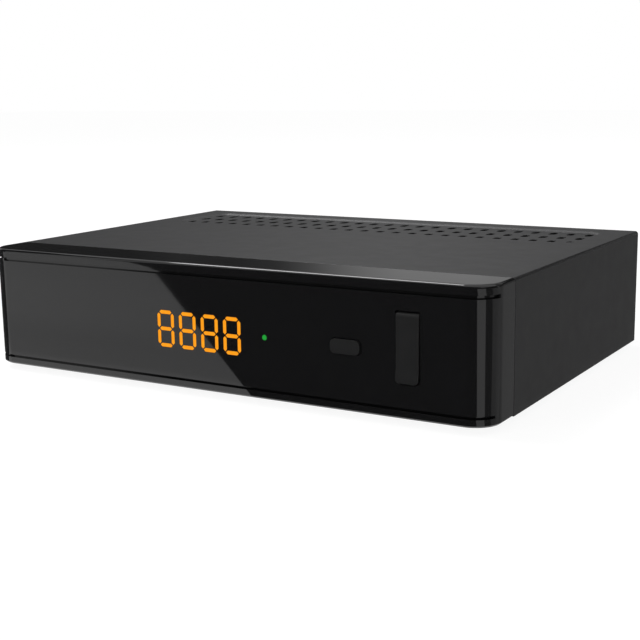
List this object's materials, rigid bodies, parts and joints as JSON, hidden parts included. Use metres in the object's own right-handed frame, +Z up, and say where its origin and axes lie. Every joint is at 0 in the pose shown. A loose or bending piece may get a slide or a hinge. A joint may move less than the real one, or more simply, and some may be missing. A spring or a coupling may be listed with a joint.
{
  "type": "satellite tv receiver",
  "caption": "Slim set-top satellite receiver: gloss front with digit display, standby button and hinged USB flap, vented steel case, aerial, video, audio and power sockets behind.",
  "frame": {"origin": "bottom centre of the whole receiver's box, on the surface under the feet", "axes": "+X to the right of someone facing the front, +Y from the front to the back, +Z up"},
  "size_m": [0.168, 0.1308, 0.038],
  "materials": {
    "gloss_front": "high gloss moulded black",
    "display_light": "lit amber light guide",
    "lamp_light": "lit green light guide",
    "satin_button": "satin moulded black",
    "case_paint": "fine textured dark grey powder coat",
    "black_plastic": "moulded black",
    "pale_plastic": "moulded off-white",
    "orange_plastic": "moulded orange",
    "plated_metal": "nickel plate",
    "tin_plate": "dull tin plate",
    "zinc_screw": "zinc plate",
    "black_screw": "black oxide",
    "circuit_board": "green solder mask over glass laminate",
    "chip_resin": "moulded chip resin",
    "dark_aluminium": "black anodised",
    "can_sleeve": "shrink sleeve",
    "ferrite": "pressed ferrite",
    "rubber_foot": "moulded rubber"
  },
  "bodies": {
    "case": {"front_fascia": "gloss_front", "display_segments": "display_light", "display_module": "black_plastic", "light_pipe": "lamp_light", "status_led": "lamp_light", "remote_sensor": "black_plastic", "tact_switch": "black_plastic", "usb_shell": "plated_metal", "usb_insulator": "pale_plastic", "front_board": "circuit_board", "front_board_screws": "zinc_screw", "board_header": "black_plastic", "fascia_screws": "zinc_screw", "top_cover": "case_paint", "cover_screws": "black_screw", "chassis_tray": "case_paint", "rear_panel": "case_paint", "standoffs": "zinc_screw", "rubber_feet": "rubber_foot", "main_board": "circuit_board", "board_screws": "zinc_screw", "tuner_can": "tin_plate", "tuner_lid": "tin_plate", "lnb_barrels": "plated_metal", "lnb_nuts": "plated_metal", "lnb_insulators": "pale_plastic", "hdmi_shell": "plated_metal", "hdmi_tongue": "black_plastic", "scart_socket": "black_plastic", "coax_body": "black_plastic", "coax_barrel": "plated_metal", "coax_insulator": "orange_plastic", "power_socket": "black_plastic", "power_pin": "plated_metal", "processor": "chip_resin", "heatsink": "dark_aluminium", "memory_chips": "chip_resin", "power_chips": "chip_resin", "capacitors": "can_sleeve", "inductors": "ferrite", "crystal": "tin_plate"},
    "standby_button": {"standby_button": "satin_button"},
    "switch_plunger": {"tact_plunger": "pale_plastic"},
    "usb_flap": {"usb_flap": "satin_button"}
  },
  "joints": [
    {"name": "standby_press", "type": "slide", "parent": "case", "child": "standby_button", "axis": [0, 1, 0], "range_m": [0, 0.0004], "stiffness_N_per_m": 1500, "springref_m": -0.0002},
    {"name": "switch_press", "type": "slide", "parent": "case", "child": "switch_plunger", "axis": [0, 1, 0], "range_m": [0, 0.0004]},
    {"name": "flap_hinge", "type": "hinge", "parent": "case", "child": "usb_flap", "pos_m": [0.0614, -0.0635, 0.0285], "axis": [-1, 0, 0], "range_deg": [0, 95]}
  ],
  "couplings": [
    {"joint": "switch_press", "follows": "standby_press", "ratio": 1}
  ]
}
